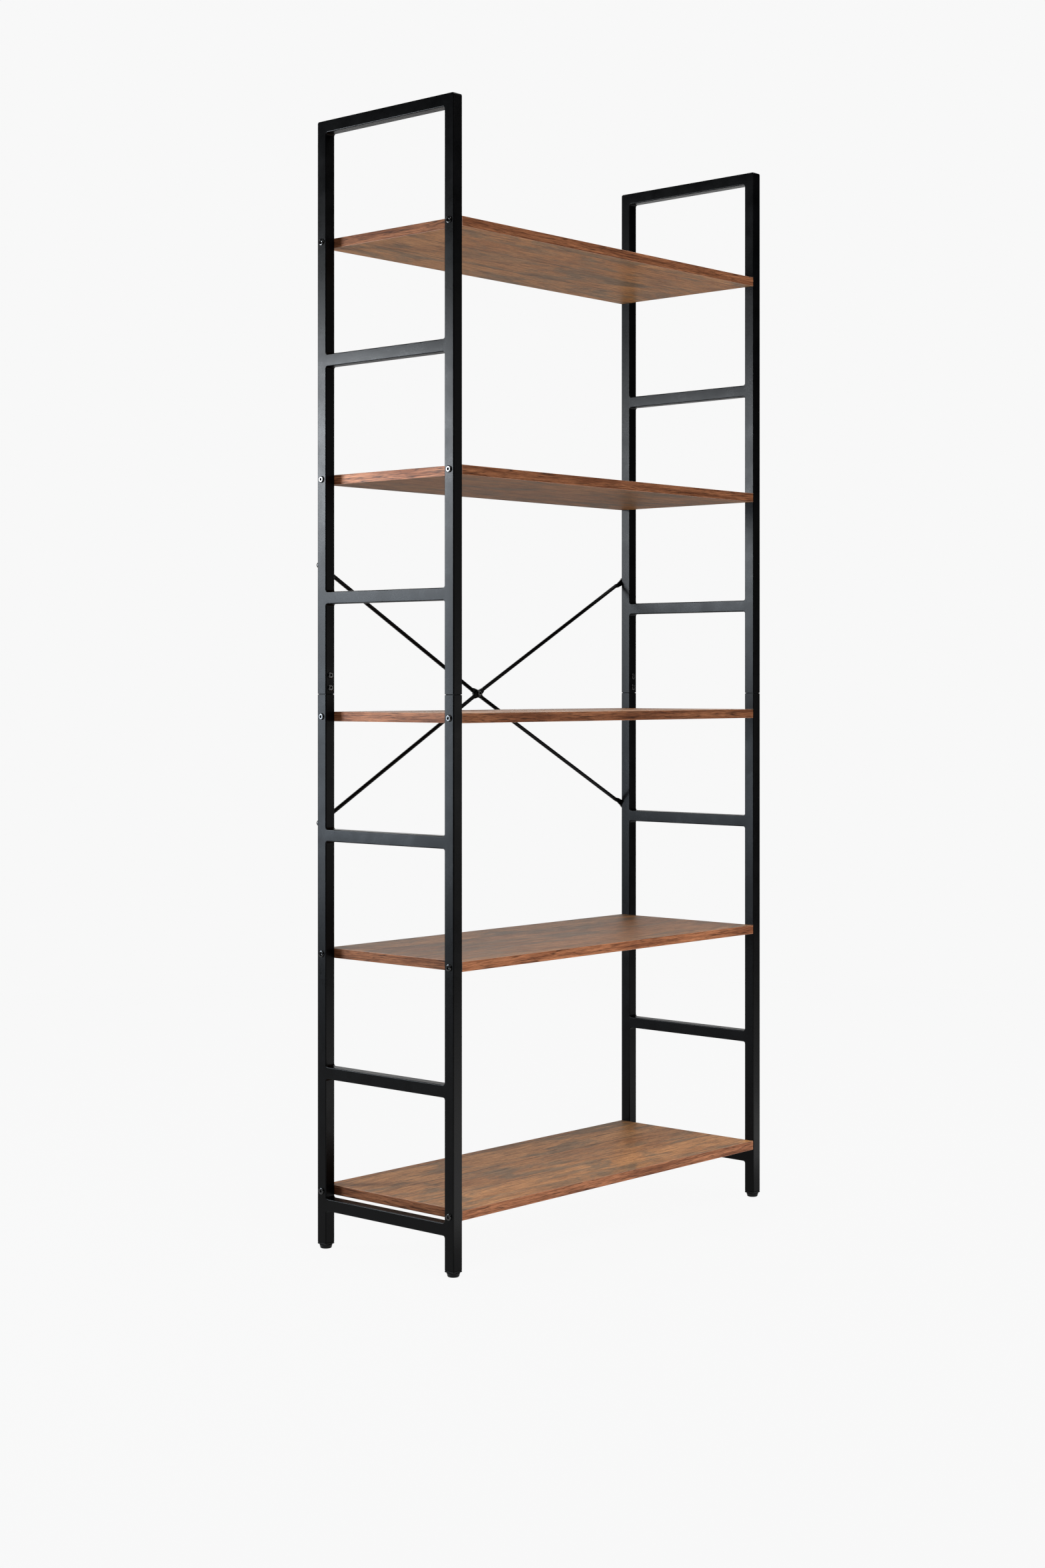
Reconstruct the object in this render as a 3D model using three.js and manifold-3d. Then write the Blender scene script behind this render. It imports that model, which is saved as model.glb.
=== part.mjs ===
// Five-shelf bookcase in black square tube, with wood-effect boards.
//
// Each side is a welded ladder in an upper and a lower section, joined by a sleeve inside every post and two
// screws above the seam. Five boards are bolted between the sides, two crossed rods brace the back, and the
// case stands on four levelling feet that screw into inserts in the posts.
//
// Millimetres, +Z up, +X to the right, -Y to the open front. The origin is on the floor, below the middle of
// the outer box. side is -1 on the left and 1 on the right; end is -1 at the front and 1 at the rear.

import * as THREE from 'three';
import { mergeVertices } from 'three/addons/utils/BufferGeometryUtils.js';
import Module from 'manifold-3d';

const wasm = await Module();
wasm.setup();

// ---- Driving dimensions ----

const WIDTH = 767; // over the posts
const DEPTH = 293; // over the posts
const GAP = 0.3; // left between neighbouring pieces

const TUBE = 19; // every post, rung and rail is the same square tube
const TUBE_WALL = 1.2;
const TUBE_CORNER = 1.5; // outside radius
const VENT = 6; // hole from a welded crossbar into its post

const SHELF_THICKNESS = 15;
const SHELF_DEPTH = 292;
const SHELF_PITCH = 370;
const LOWEST_SHELF = 90; // height of the board's middle
const SHELF_NAMES = ['bottom', 'lower', 'middle', 'upper', 'top'];
const TOP_RISE = 188.5; // from the top shelf's middle to the top of the case
const RAIL_DROP = 20.5; // from the bottom shelf's middle to the bottom rail's middle
const SEAM_RISE = 35; // from the middle shelf's middle to the seam between the sections
const SEAM_GAP = 0.8;

const BOLT = 6; // shelf, brace and hub bolts
const SCREW = 5; // sleeve screws
const HEAD = 10.5; // button head of every bolt and screw
const HEAD_HEIGHT = 1.9;
const BRACE_HEAD_HEIGHT = 4; // of the bolts through the rods' ends
const HEAD_RIM = 0.8;
const HEAD_FLAT = 9; // flat top around the socket
const SOCKET = 4.6; // hex socket, across corners
const SOCKET_DEPTH = 1.8;
const SHELF_BOLT_GRIP = 15; // length of bolt inside the board

const SLEEVE_ABOVE = 42; // sleeve length on each side of the seam
const SLEEVE_BELOW = 28;
const SLEEVE_WALL = 1.5;
const SCREW_RISES = [10, 29.5]; // sleeve screws above the seam
const SCREW_LENGTH = 7;

const ROD = 6.5; // brace rod
const ROD_RISE = 202; // height of a rod's end above or below the hub
const ROD_BOW = 10; // distance by which the rods stand off behind the posts at the hub
const ROD_STEP = 1.5; // from the front of an end flat to the front of its rod
const FLAT = 3; // thickness of a rod where it is pressed flat
const FLAT_OVERLAP = 4; // length over which a flat and its rod run into each other
const END_EYE = 12.5; // width of a flat round an end bolt
const END_REACH = 24; // length of an end flat, from its bolt to the rod
const HUB_EYE = 14.5; // width of a flat round the hub bolt
const HUB_REACH = 14; // half the length of a flat at the hub
const BRACE_BOLT_GRIP = 10; // length of bolt inside the post
const NUT = 10; // hex nut, across flats
const NUT_HEIGHT = 5;
const NUT_TIP = 1.3; // bolt standing out of the nut

const POST_BOTTOM = 9.5;
const INSERT_LIP = 3;
const INSERT_HEIGHT = 22; // inside the post
const FOOT_TOP = 20.5; // diameter of the pad under the insert
const FOOT_BASE = 15; // diameter of the flat that stands on the floor
const FOOT_SIDE = 18.4; // diameter where the side turns into the base
const FOOT_ROUNDING = 2.4; // height of that turn
const STUD = 8;
const STUD_LENGTH = 24;

const HOLE_SIDES = 12;
const ROD_SIDES = 10;
const FOOT_SIDES = 16;
const DOME_STEPS = 2;
const CORNER_SEGMENTS = 1; // two facets on each rounded tube corner
const EYE_SEGMENTS = 4;

// ---- Sizes worked out from them ----

const BORE = TUBE - 2 * TUBE_WALL;
const POST_X = (WIDTH - TUBE) / 2;
const POST_Y = (DEPTH - TUBE) / 2;
const REAR = DEPTH / 2;
const SHELF_WIDTH = WIDTH - 2 * TUBE - 2 * GAP;
const SHELF_HEIGHTS = SHELF_NAMES.map((name, level) => LOWEST_SHELF + level * SHELF_PITCH);
const RUNG_HEIGHTS = SHELF_HEIGHTS.slice(0, -1).map((height) => height + SHELF_PITCH / 2);
const TOP = SHELF_HEIGHTS.at(-1) + TOP_RISE;
const SEAM = SHELF_HEIGHTS[2] + SEAM_RISE;
const SLEEVE = BORE - 2 * GAP;

const HUB = REAR + ROD_BOW; // under the hub bolt's head
const HUB_NUT_FRONT = HUB + 2 * FLAT + 3 * GAP;
const HUB_BOLT_TIP = HUB_NUT_FRONT + NUT_HEIGHT + NUT_TIP; // the rearmost point
const FOOT_FRONT = POST_Y + FOOT_TOP / 2; // the foremost one, in front of the origin

const STEEL = { color: 0x141516, roughness: 0.55, metalness: 0.3 };
const SCREW_BLACK = { color: 0x0c0c0d, roughness: 0.25, metalness: 0.6 };
const WOOD = { color: 0x6b4532, roughness: 0.6, metalness: 0 };
const PLASTIC = { color: 0x101010, roughness: 0.5, metalness: 0 };

const SIDES = [[-1, 'left'], [1, 'right']];
const ENDS = [[-1, 'front'], [1, 'rear']];

// ---- Solids ----

const at = (x, y, z) => new THREE.Vector3(x, y, z);

function toSolid(geometry) {
  geometry.deleteAttribute('normal');
  geometry.deleteAttribute('uv');
  const merged = mergeVertices(geometry, 1e-4);
  const corners = merged.index.array;
  const kept = [];
  for (let i = 0; i < corners.length; i += 3) {
    const [a, b, c] = corners.slice(i, i + 3);
    if (a !== b && b !== c && c !== a) kept.push(a, b, c);
  }
  return new wasm.Manifold(new wasm.Mesh({
    numProp: 3,
    vertProperties: merged.attributes.position.array,
    triVerts: Uint32Array.from(kept),
  }));
}

function toGeometry(solid) {
  const mesh = solid.getMesh();
  const geometry = new THREE.BufferGeometry();
  geometry.setAttribute('position', new THREE.BufferAttribute(mesh.vertProperties, 3));
  geometry.setIndex(new THREE.BufferAttribute(mesh.triVerts, 1));
  geometry.computeVertexNormals();
  return geometry;
}

const join = (solids) => solids.reduce((whole, solid) => whole.add(solid));
const cut = (solid, tools) => tools.reduce((rest, tool) => rest.subtract(tool), solid);

function roundedSquare(size, corner) {
  const shape = new THREE.Shape();
  const centre = size / 2 - corner;
  for (let quarter = 0; quarter < 4; quarter++) {
    const start = (quarter * Math.PI) / 2;
    const x = quarter === 0 || quarter === 3 ? centre : -centre;
    const y = quarter < 2 ? centre : -centre;
    shape.absarc(x, y, corner, start, start + Math.PI / 2);
  }
  return shape;
}

function polygon(sides, diameter) {
  const corners = [];
  for (let i = 0; i < sides; i++) {
    const angle = ((i + 0.5) * 2 * Math.PI) / sides;
    corners.push(new THREE.Vector2(Math.cos(angle), Math.sin(angle)).multiplyScalar(diameter / 2));
  }
  return new THREE.Shape(corners);
}

// A section extruded along the straight line from start to end.
function bar(section, start, end) {
  const line = end.clone().sub(start);
  const settings = { depth: line.length(), bevelEnabled: false, curveSegments: CORNER_SEGMENTS };
  const geometry = new THREE.ExtrudeGeometry(section, settings);
  geometry.applyQuaternion(new THREE.Quaternion().setFromUnitVectors(at(0, 0, 1), line.normalize()));
  geometry.translate(start.x, start.y, start.z);
  return toSolid(geometry);
}

const hole = (diameter, start, end) => bar(polygon(HOLE_SIDES, diameter + 2 * GAP), start, end);

// A profile of [radius, height] points turned about the Z axis.
function turned(profile, sides) {
  const points = profile.map(([radius, height]) => new THREE.Vector2(radius, height));
  const geometry = new THREE.LatheGeometry(points, sides);
  geometry.rotateX(Math.PI / 2);
  return toSolid(geometry);
}

// ---- Welded side sections ----

const TUBE_OUTSIDE = roundedSquare(TUBE, TUBE_CORNER);
const TUBE_INSIDE = roundedSquare(BORE, TUBE_CORNER - TUBE_WALL);

// Two posts of one side, open at both ends unless the top is closed by a rail.
function posts(side, bottom, top, closedTop) {
  const x = side * POST_X;
  const outside = [];
  const inside = [];
  for (const [end] of ENDS) {
    const y = end * POST_Y;
    outside.push(bar(TUBE_OUTSIDE, at(x, y, bottom), at(x, y, top)));
    inside.push(bar(TUBE_INSIDE, at(x, y, bottom - 1), at(x, y, closedTop ? top - TUBE_WALL : top + 1)));
  }
  return { outside, inside };
}

// A tube welded between the posts. Its bore stops at the posts' walls, and a vent hole goes through them.
function crossbar(side, height) {
  const x = side * POST_X;
  const bore = POST_Y - TUBE / 2;
  return {
    outside: [bar(TUBE_OUTSIDE, at(x, -POST_Y, height), at(x, POST_Y, height))],
    inside: [
      bar(TUBE_INSIDE, at(x, -bore, height), at(x, bore, height)),
      bar(polygon(HOLE_SIDES, VENT), at(x, -POST_Y, height), at(x, POST_Y, height)),
    ],
  };
}

// The top rail is mitred to the posts, so its bore runs into theirs.
function topRail(side) {
  const x = side * POST_X;
  const height = TOP - TUBE / 2;
  return {
    outside: [bar(TUBE_OUTSIDE, at(x, -POST_Y, height), at(x, POST_Y, height))],
    inside: [bar(TUBE_INSIDE, at(x, -POST_Y, height), at(x, POST_Y, height))],
  };
}

const shelfBoltHoles = (side, heights) => heights.flatMap((height) => ENDS.map(([end]) => {
  const x = side * POST_X;
  return hole(BOLT, at(x - TUBE, end * POST_Y, height), at(x + TUBE, end * POST_Y, height));
}));

// Sleeve screws enter the faces of the posts that look at each other.
const sleeveScrewHoles = (side) => SCREW_RISES.flatMap((rise) => ENDS.map(([end]) => {
  const y = end * POST_Y;
  return hole(SCREW, at(side * POST_X, y, SEAM + rise), at(side * POST_X, y - end * TUBE, SEAM + rise));
}));

function braceBoltHole(side, height) {
  return hole(BOLT, at(side * POST_X, POST_Y, height), at(side * POST_X, REAR + 1, height));
}

function weld(members, holes) {
  const outside = join(members.flatMap((member) => member.outside));
  return toGeometry(cut(outside, [...members.flatMap((member) => member.inside), ...holes]));
}

function upperSection(side) {
  const members = [
    posts(side, SEAM + SEAM_GAP / 2, TOP, true),
    topRail(side),
    ...RUNG_HEIGHTS.filter((height) => height > SEAM).map((height) => crossbar(side, height)),
  ];
  const shelves = SHELF_HEIGHTS.filter((height) => height > SEAM);
  return weld(members, [
    ...shelfBoltHoles(side, shelves),
    ...sleeveScrewHoles(side),
    braceBoltHole(side, SEAM + ROD_RISE),
  ]);
}

function lowerSection(side) {
  const members = [
    posts(side, POST_BOTTOM, SEAM - SEAM_GAP / 2, false),
    crossbar(side, LOWEST_SHELF - RAIL_DROP),
    ...RUNG_HEIGHTS.filter((height) => height < SEAM).map((height) => crossbar(side, height)),
  ];
  const shelves = SHELF_HEIGHTS.filter((height) => height < SEAM);
  return weld(members, [...shelfBoltHoles(side, shelves), braceBoltHole(side, SEAM - ROD_RISE)]);
}

// The sleeve is fixed in the lower post and stands up into the upper one. Its origin is at the seam.
function sleeve(end) {
  const outside = roundedSquare(SLEEVE, TUBE_CORNER - TUBE_WALL);
  const inside = roundedSquare(SLEEVE - 2 * SLEEVE_WALL, TUBE_CORNER - TUBE_WALL);
  const screws = SCREW_RISES.map((rise) => hole(SCREW, at(0, 0, rise), at(0, -end * TUBE, rise)));
  const body = bar(outside, at(0, 0, -SLEEVE_BELOW), at(0, 0, SLEEVE_ABOVE));
  const bore = bar(inside, at(0, 0, -SLEEVE_BELOW - 1), at(0, 0, SLEEVE_ABOVE + 1));
  return toGeometry(cut(body, [bore, ...screws]));
}

// ---- Boards ----

function shelf() {
  const board = toSolid(new THREE.BoxGeometry(SHELF_WIDTH, SHELF_DEPTH, SHELF_THICKNESS));
  const face = SHELF_WIDTH / 2;
  const depth = SHELF_BOLT_GRIP + 2;
  const holes = SIDES.flatMap(([side]) => ENDS.map(([end]) => {
    return hole(BOLT, at(side * (face + 1), end * POST_Y, 0), at(side * (face - depth), end * POST_Y, 0));
  }));
  return toGeometry(cut(board, holes));
}

// ---- Fasteners ----

// A button-head bolt with its head above the XY plane and its shank below.
function bolt(diameter, length, headHeight) {
  const profile = [[0, -length], [diameter / 2, -length], [diameter / 2, 0], [HEAD / 2, 0]];
  for (let i = 0; i <= DOME_STEPS; i++) {
    const turn = (i / DOME_STEPS) * (Math.PI / 2);
    const radius = HEAD_FLAT / 2 + (HEAD / 2 - HEAD_FLAT / 2) * Math.cos(turn);
    profile.push([radius, HEAD_RIM + (headHeight - HEAD_RIM) * Math.sin(turn)]);
  }
  profile.push([0, headHeight]);
  const socket = bar(polygon(6, SOCKET), at(0, 0, headHeight - SOCKET_DEPTH), at(0, 0, headHeight + 1));
  return toGeometry(turned(profile, HOLE_SIDES).subtract(socket));
}

function hubNut() {
  const acrossCorners = NUT / Math.cos(Math.PI / 6);
  const body = bar(polygon(6, acrossCorners), at(0, 0, 0), at(0, NUT_HEIGHT, 0));
  return toGeometry(body.subtract(hole(BOLT, at(0, -1, 0), at(0, NUT_HEIGHT + 1, 0))));
}

// ---- Rear brace ----

// Outline of a flat: a round eye at 0, drawn out straight to the rod at x = reach, and at -reach if it goes
// both ways.
function flatOutline(eye, reach, bothWays) {
  const radius = eye / 2;
  const touch = Math.atan2(ROD / 2, reach) + Math.acos(radius / Math.hypot(reach, ROD / 2));
  const outline = new THREE.Shape();
  outline.moveTo(reach, -ROD / 2);
  outline.lineTo(reach, ROD / 2);
  if (bothWays) {
    outline.absarc(0, 0, radius, touch, Math.PI - touch);
    outline.lineTo(-reach, ROD / 2);
    outline.lineTo(-reach, -ROD / 2);
    outline.absarc(0, 0, radius, Math.PI + touch, 2 * Math.PI - touch);
  } else {
    outline.absarc(0, 0, radius, touch, 2 * Math.PI - touch);
  }
  return outline;
}

// A flat standing in an XZ plane, turned by angle and with its front face at the given Y.
function flat(outline, angle, x, front, z) {
  const settings = { depth: FLAT, bevelEnabled: false, curveSegments: EYE_SEGMENTS };
  const geometry = new THREE.ExtrudeGeometry(outline, settings);
  geometry.rotateZ(angle);
  geometry.rotateX(Math.PI / 2);
  geometry.translate(x, front + FLAT, z);
  return toSolid(geometry);
}

// One rod in two straight halves, from the hub to an eye on each rear post. It climbs to the right when
// climb is 1 and to the left when it is -1. hubFront is the front face of its flat at the hub.
function braceRod(climb, hubFront) {
  const endFront = REAR + GAP;
  const slope = Math.atan2(climb * ROD_RISE, POST_X);
  const solids = [flat(flatOutline(HUB_EYE, HUB_REACH, true), slope, 0, hubFront, SEAM)];
  const holes = [hole(BOLT, at(0, hubFront - 1, SEAM), at(0, hubFront + FLAT + 1, SEAM))];
  for (const [side] of SIDES) {
    const along = at(side * Math.cos(slope), 0, side * Math.sin(slope));
    const tip = at(side * POST_X, 0, SEAM + side * climb * ROD_RISE);
    const towardHub = slope + (side > 0 ? Math.PI : 0);
    const start = at(0, hubFront + ROD / 2, SEAM).addScaledVector(along, HUB_REACH - FLAT_OVERLAP);
    const finish = at(tip.x, endFront + ROD_STEP + ROD / 2, tip.z);
    finish.addScaledVector(along, FLAT_OVERLAP - END_REACH);
    solids.push(flat(flatOutline(END_EYE, END_REACH, false), towardHub, tip.x, endFront, tip.z));
    solids.push(bar(polygon(ROD_SIDES, ROD), start, finish));
    holes.push(hole(BOLT, at(tip.x, REAR - 1, tip.z), at(tip.x, REAR + FLAT + 2, tip.z)));
  }
  return toGeometry(cut(join(solids), holes));
}

// ---- Feet ----

// The insert fills the post's end around the stud's bore. Its origin is at the post's end.
function footInsert() {
  const plug = bar(roundedSquare(SLEEVE, TUBE_CORNER - TUBE_WALL), at(0, 0, -1), at(0, 0, INSERT_HEIGHT));
  const lip = bar(roundedSquare(TUBE, TUBE_CORNER), at(0, 0, -INSERT_LIP), at(0, 0, -GAP));
  return toGeometry(cut(plug.add(lip), [hole(STUD, at(0, 0, -INSERT_LIP - 1), at(0, 0, INSERT_HEIGHT + 1))]));
}

// A round glide with a stud, standing on the floor and screwed up against the insert.
function levellingFoot() {
  const padTop = POST_BOTTOM - INSERT_LIP - GAP;
  const profile = [
    [0, 0],
    [FOOT_BASE / 2, 0],
    [FOOT_SIDE / 2 - 0.5, FOOT_ROUNDING / 3],
    [FOOT_SIDE / 2, FOOT_ROUNDING],
    [FOOT_TOP / 2, padTop],
    [STUD / 2, padTop],
    [STUD / 2, padTop + STUD_LENGTH],
    [0, padTop + STUD_LENGTH],
  ];
  return toGeometry(turned(profile, FOOT_SIDES));
}

// ---- Assembly ----

const assembly = new THREE.Group();

function place(name, geometry, finish, position, facing) {
  const mesh = new THREE.Mesh(geometry, new THREE.MeshStandardMaterial(finish));
  mesh.name = name;
  if (position) mesh.position.copy(position);
  if (facing) mesh.quaternion.setFromUnitVectors(at(0, 0, 1), facing);
  assembly.add(mesh);
}

for (const [side, sideName] of SIDES) {
  place(`${sideName}_frame_upper`, upperSection(side), STEEL);
  place(`${sideName}_frame_lower`, lowerSection(side), STEEL);
}

const board = shelf();
SHELF_NAMES.forEach((name, level) => place(`shelf_${name}`, board, WOOD, at(0, 0, SHELF_HEIGHTS[level])));

const shelfBolt = bolt(BOLT, TUBE + 2 * GAP + SHELF_BOLT_GRIP, HEAD_HEIGHT);
const sleeveScrew = bolt(SCREW, SCREW_LENGTH, HEAD_HEIGHT);
const insert = footInsert();
const foot = levellingFoot();

for (const [side, sideName] of SIDES) {
  for (const [end, endName] of ENDS) {
    const corner = `${sideName}_${endName}`;
    const x = side * POST_X;
    const y = end * POST_Y;
    place(`post_sleeve_${corner}`, sleeve(end), STEEL, at(x, y, SEAM));
    SCREW_RISES.forEach((rise, i) => {
      const seat = at(x, y - end * (TUBE / 2 + GAP), SEAM + rise);
      place(`sleeve_screw_${corner}_${i + 1}`, sleeveScrew, SCREW_BLACK, seat, at(0, -end, 0));
    });
    SHELF_NAMES.forEach((name, level) => {
      const seat = at(side * (WIDTH / 2 + GAP), y, SHELF_HEIGHTS[level]);
      place(`shelf_bolt_${name}_${corner}`, shelfBolt, SCREW_BLACK, seat, at(side, 0, 0));
    });
    place(`foot_insert_${corner}`, insert, PLASTIC, at(x, y, POST_BOTTOM));
    place(`levelling_foot_${corner}`, foot, PLASTIC, at(x, y, 0));
  }
}

place('brace_rod_front', braceRod(1, HUB + GAP), STEEL);
place('brace_rod_rear', braceRod(-1, HUB + FLAT + 2 * GAP), STEEL);

const braceBolt = bolt(BOLT, FLAT + 2 * GAP + TUBE_WALL + BRACE_BOLT_GRIP, BRACE_HEAD_HEIGHT);
for (const [side, sideName] of SIDES) {
  for (const [rise, riseName] of [[-ROD_RISE, 'lower'], [ROD_RISE, 'upper']]) {
    const seat = at(side * POST_X, REAR + FLAT + 2 * GAP, SEAM + rise);
    place(`brace_bolt_${sideName}_${riseName}`, braceBolt, SCREW_BLACK, seat, at(0, 1, 0));
  }
}
const hubBolt = bolt(BOLT, HUB_BOLT_TIP - HUB, HEAD_HEIGHT);
place('brace_hub_bolt', hubBolt, SCREW_BLACK, at(0, HUB, SEAM), at(0, -1, 0));
place('brace_hub_nut', hubNut(), SCREW_BLACK, at(0, HUB_NUT_FRONT, SEAM));

// The hub bolt stands out at the back, so the case moves forward to keep the origin below the box's middle.
assembly.position.y = (FOOT_FRONT - HUB_BOLT_TIP) / 2;

export default assembly;
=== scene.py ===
# Looks for a five-shelf bookcase: black powder-coated square tube, wood-effect boards, black button-head
# bolts, crossed rods at the back and plastic levelling feet.
#
# Metres, in the part's own frame: +Z up, +X to the right, -Y to the open front. Positions come from the
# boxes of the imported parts. Sizes that a box doesn't give are named below. They are the part's own, except
# where a comment says so, or they belong to fine detail that its solids leave out.

import math

import bmesh
import bpy
from mathutils import Matrix, Vector

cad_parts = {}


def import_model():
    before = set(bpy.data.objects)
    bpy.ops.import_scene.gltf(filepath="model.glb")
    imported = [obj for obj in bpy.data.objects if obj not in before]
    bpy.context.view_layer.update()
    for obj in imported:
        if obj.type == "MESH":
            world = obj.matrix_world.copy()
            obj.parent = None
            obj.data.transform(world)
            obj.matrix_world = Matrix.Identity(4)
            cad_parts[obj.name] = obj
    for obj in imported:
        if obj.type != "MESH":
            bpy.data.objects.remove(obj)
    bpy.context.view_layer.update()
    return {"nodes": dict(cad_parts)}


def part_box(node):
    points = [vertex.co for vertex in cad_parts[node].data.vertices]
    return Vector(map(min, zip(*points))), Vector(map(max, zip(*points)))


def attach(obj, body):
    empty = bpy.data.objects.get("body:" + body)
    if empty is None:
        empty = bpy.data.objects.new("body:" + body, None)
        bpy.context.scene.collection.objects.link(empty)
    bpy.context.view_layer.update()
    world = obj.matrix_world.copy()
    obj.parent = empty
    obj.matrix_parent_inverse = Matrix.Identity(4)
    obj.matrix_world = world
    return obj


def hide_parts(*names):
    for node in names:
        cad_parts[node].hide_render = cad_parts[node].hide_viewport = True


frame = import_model()

# ---- Sizes ----

MM = 0.001

TUBE = 19 * MM
TUBE_WALL = 1.2 * MM
TUBE_CORNER = 1.5 * MM
TUBE_END_CHAMFER = 0.35 * MM
WELD = 3.5 * MM  # radius of the ground weld in each inside corner
FRAME_CORNER = 3.2 * MM  # outer corners of the upper frames
RAIL_DROP = 20.5 * MM  # from the bottom shelf's middle to the bottom rail's middle

ARRIS = 0.5 * MM  # rounding of a board's edges

BOLT = 6 * MM
SCREW = 5 * MM
HEAD_HEIGHT = 1.9 * MM
BRACE_HEAD_HEIGHT = 4 * MM
HEAD_RIM = 0.8 * MM
HEAD_FLAT = 7.4 * MM  # flat top around the socket, 9 mm in the part
HEAD_EDGE = 0.15 * MM  # chamfer under the rim
SHANK_LEAD = 0.6 * MM  # chamfer at the tip
SOCKET = 4.6 * MM  # hex socket, across corners
SOCKET_DEPTH = 1.8 * MM
CLEARANCE = 0.3 * MM
THREAD_PITCH = 1 * MM

ROD = 6.5 * MM
ROD_STEP = 1.5 * MM  # from the front of an end flat to the front of its rod
FLAT = 3 * MM
FLAT_TAPER = 4.5 * MM  # length over which a flat thickens into its rod
END_EYE = 12.5 * MM
END_REACH = 24 * MM
HUB_EYE = 12 * MM  # 14.5 mm in the part
HUB_REACH = 14 * MM
FLAT_POWER = 7  # superellipse power of a flat's section, almost a rectangle
ROUND_POWER = 2  # of a rod's section, a circle

INSERT_LIP = 3 * MM
STUD = 8 * MM
FOOT_BASE = 15 * MM
FOOT_SIDE = 18.4 * MM
FOOT_ROUNDING = 2.4 * MM

RING = 36  # points round a bolt or a nut
CORNER_STEPS = 5  # facets on each rounded corner
ROUND_STEPS = 4  # facets across each rounded edge

SIDES = (("left", -1), ("right", 1))
ENDS = (("front", -1), ("rear", 1))
SHELVES = ("bottom", "lower", "middle", "upper", "top")


def middle(node):
    low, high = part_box(node)
    return (low + high) / 2


# ---- Meshes ----


def rounded_rectangle(low, high, radius, steps=CORNER_STEPS):
    """Points round a rectangle in a plane, anticlockwise, with each corner an arc."""
    points = []
    corners = ((high[0], high[1], 0), (low[0], high[1], 1), (low[0], low[1], 2), (high[0], low[1], 3))
    for x, y, quarter in corners:
        centre_x = x + (radius if x == low[0] else -radius)
        centre_y = y + (radius if y == low[1] else -radius)
        for step in range(steps + 1):
            angle = (quarter + step / steps) * math.pi / 2
            points.append((centre_x + radius * math.cos(angle), centre_y + radius * math.sin(angle)))
    return points


def rounded_plate(outline, windows, half, rounding):
    """A flat plate with windows, centred on Z = 0, its outer and inner edges all rounded to one radius.

    outline and windows are (low, high, corner radius) in the plate's plane."""
    layers = []
    for side in (-1, 1):
        for step in range(ROUND_STEPS + 1):
            angle = (step / ROUND_STEPS if side > 0 else 1 - step / ROUND_STEPS) * math.pi / 2
            height = side * (half - rounding + rounding * math.sin(angle))
            layers.append((height, rounding * (1 - math.cos(angle))))
    made = bmesh.new()
    rims = ([], [])
    for low, high, radius, inward in [(*outline, 1)] + [(*window, -1) for window in windows]:
        rings = []
        for height, inset in layers:
            inset *= inward
            ring_low = (low[0] + inset, low[1] + inset)
            ring_high = (high[0] - inset, high[1] - inset)
            points = rounded_rectangle(ring_low, ring_high, radius - inset)
            rings.append([(x, y, height) for x, y in points])
        rows = skin(made, rings)
        for rim, row in zip(rims, (rows[0], rows[-1])):
            rim += [made.edges.get((row[i], row[i - 1])) for i in range(len(row))]
    for rim in rims:
        bmesh.ops.triangle_fill(made, use_beauty=True, use_dissolve=False, edges=rim)
    bmesh.ops.recalc_face_normals(made, faces=made.faces)
    return made


def skin(made, rings, closed=False):
    """Adds faces between each ring of points and the next, and returns the rings' new vertices.

    If closed, the last ring joins onto the first as well."""
    rows = [[made.verts.new(point) for point in ring] for ring in rings]
    for first, second in zip(rows, rows[1:] + rows[:1] if closed else rows[1:]):
        for i in range(len(first)):
            j = (i + 1) % len(first)
            made.faces.new((first[i], first[j], second[j], second[i]))
    return rows


def loft(rings, bored=False):
    """A closed skin over rings that all have the same number of points.

    Its ends are capped. If bored, the last ring joins onto the first instead, round a hole."""
    made = bmesh.new()
    rows = skin(made, rings, bored)
    if not bored:
        made.faces.new(rows[0])
        made.faces.new(rows[-1])
    bmesh.ops.recalc_face_normals(made, faces=made.faces)
    return made


def circle(radius, height, points=RING):
    return [Vector((radius * math.cos(a), radius * math.sin(a), height)) for a in turns(points)]


def hexagon(across_corners, height, points=RING):
    """A hexagon with its points spread by angle, so that it joins onto a circle."""
    ring = []
    for angle in turns(points):
        off_flat = (angle + math.pi / 6) % (math.pi / 3) - math.pi / 6
        radius = across_corners / 2 * math.cos(math.pi / 6) / math.cos(off_flat)
        ring.append(Vector((radius * math.cos(angle), radius * math.sin(angle), height)))
    return ring


def turns(points):
    return [2 * math.pi * i / points for i in range(points)]


def stand(made, at, toward, up="Y"):
    """Moves a mesh from the origin to its place, with its Z axis turned the given way."""
    turn = Vector(toward).to_track_quat("Z", up).to_matrix().to_4x4()
    made.transform(Matrix.Translation(at) @ turn)


def rod_between(start, end, radius, points=24):
    """A plain round bar, used to drill holes."""
    made = loft([circle(radius, 0, points), circle(radius, (end - start).length, points)])
    stand(made, start, end - start)
    return made


def as_object(name, made):
    mesh = bpy.data.meshes.new(name)
    made.to_mesh(mesh)
    made.free()
    piece = bpy.data.objects.new(name, mesh)
    bpy.context.scene.collection.objects.link(piece)
    return piece


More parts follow.
